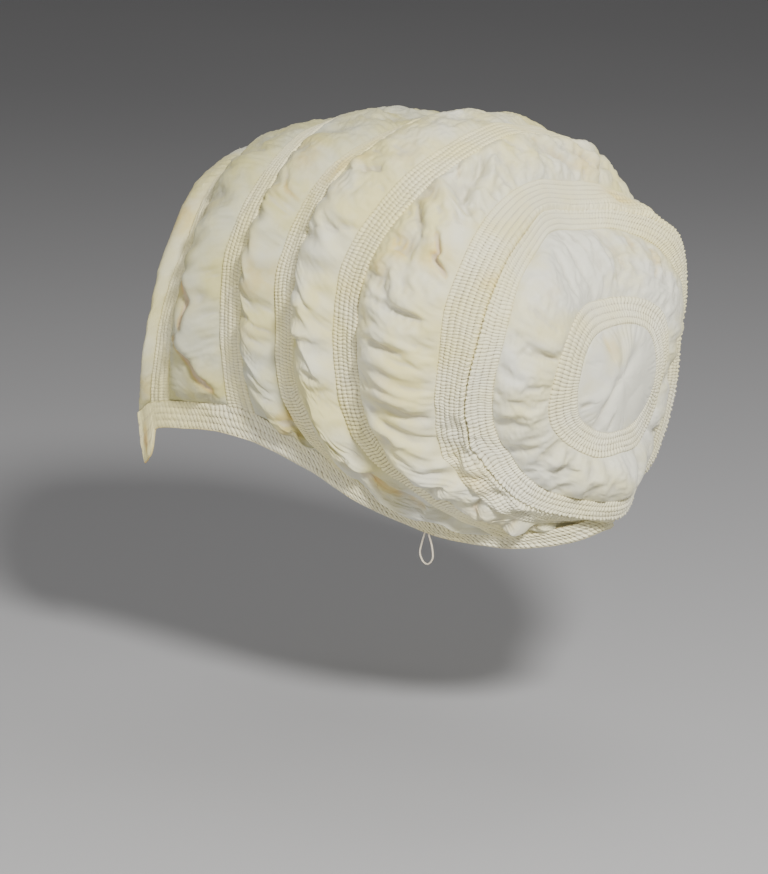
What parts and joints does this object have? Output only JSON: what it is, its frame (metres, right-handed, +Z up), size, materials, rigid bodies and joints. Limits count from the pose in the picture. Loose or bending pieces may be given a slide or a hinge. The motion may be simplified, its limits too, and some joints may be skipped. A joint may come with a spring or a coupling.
{
  "type": "drawn silk bonnet",
  "caption": "Soft drawn bonnet of thin silk: corded bands alternate with gathered puffs over the head, an oval corded tip closes the back, and a corded band edges the neck.",
  "frame": {"origin": "The inside of the crown's top, where the bonnet rests on the head (mount head_seat).", "axes": "+Z up, the wearer faces -Y, the wearer's left is +X. The bonnet keeps the tilt it has when worn."},
  "size_m": [0.204, 0.2796, 0.2326],
  "materials": {
    "puff_silk": "thin gathered silk, soft low sheen, age stained",
    "corded_silk": "silk drawn over cords, soft low sheen, slightly yellowed",
    "sewing_thread": "matte twisted thread"
  },
  "bodies": {
    "root": {"face_edge_puff": "puff_silk", "puff_1": "puff_silk", "puff_2": "puff_silk", "puff_3": "puff_silk", "puff_4": "puff_silk", "tip_puff": "puff_silk", "tip_centre": "puff_silk", "corded_band_1": "corded_silk", "corded_band_2": "corded_silk", "corded_band_3": "corded_silk", "corded_band_4": "corded_silk", "crown_band": "corded_silk", "tip_band": "corded_silk", "tip_ring": "corded_silk", "neck_band": "corded_silk", "thread_loop": "sewing_thread"}
  },
  "joints": []
}
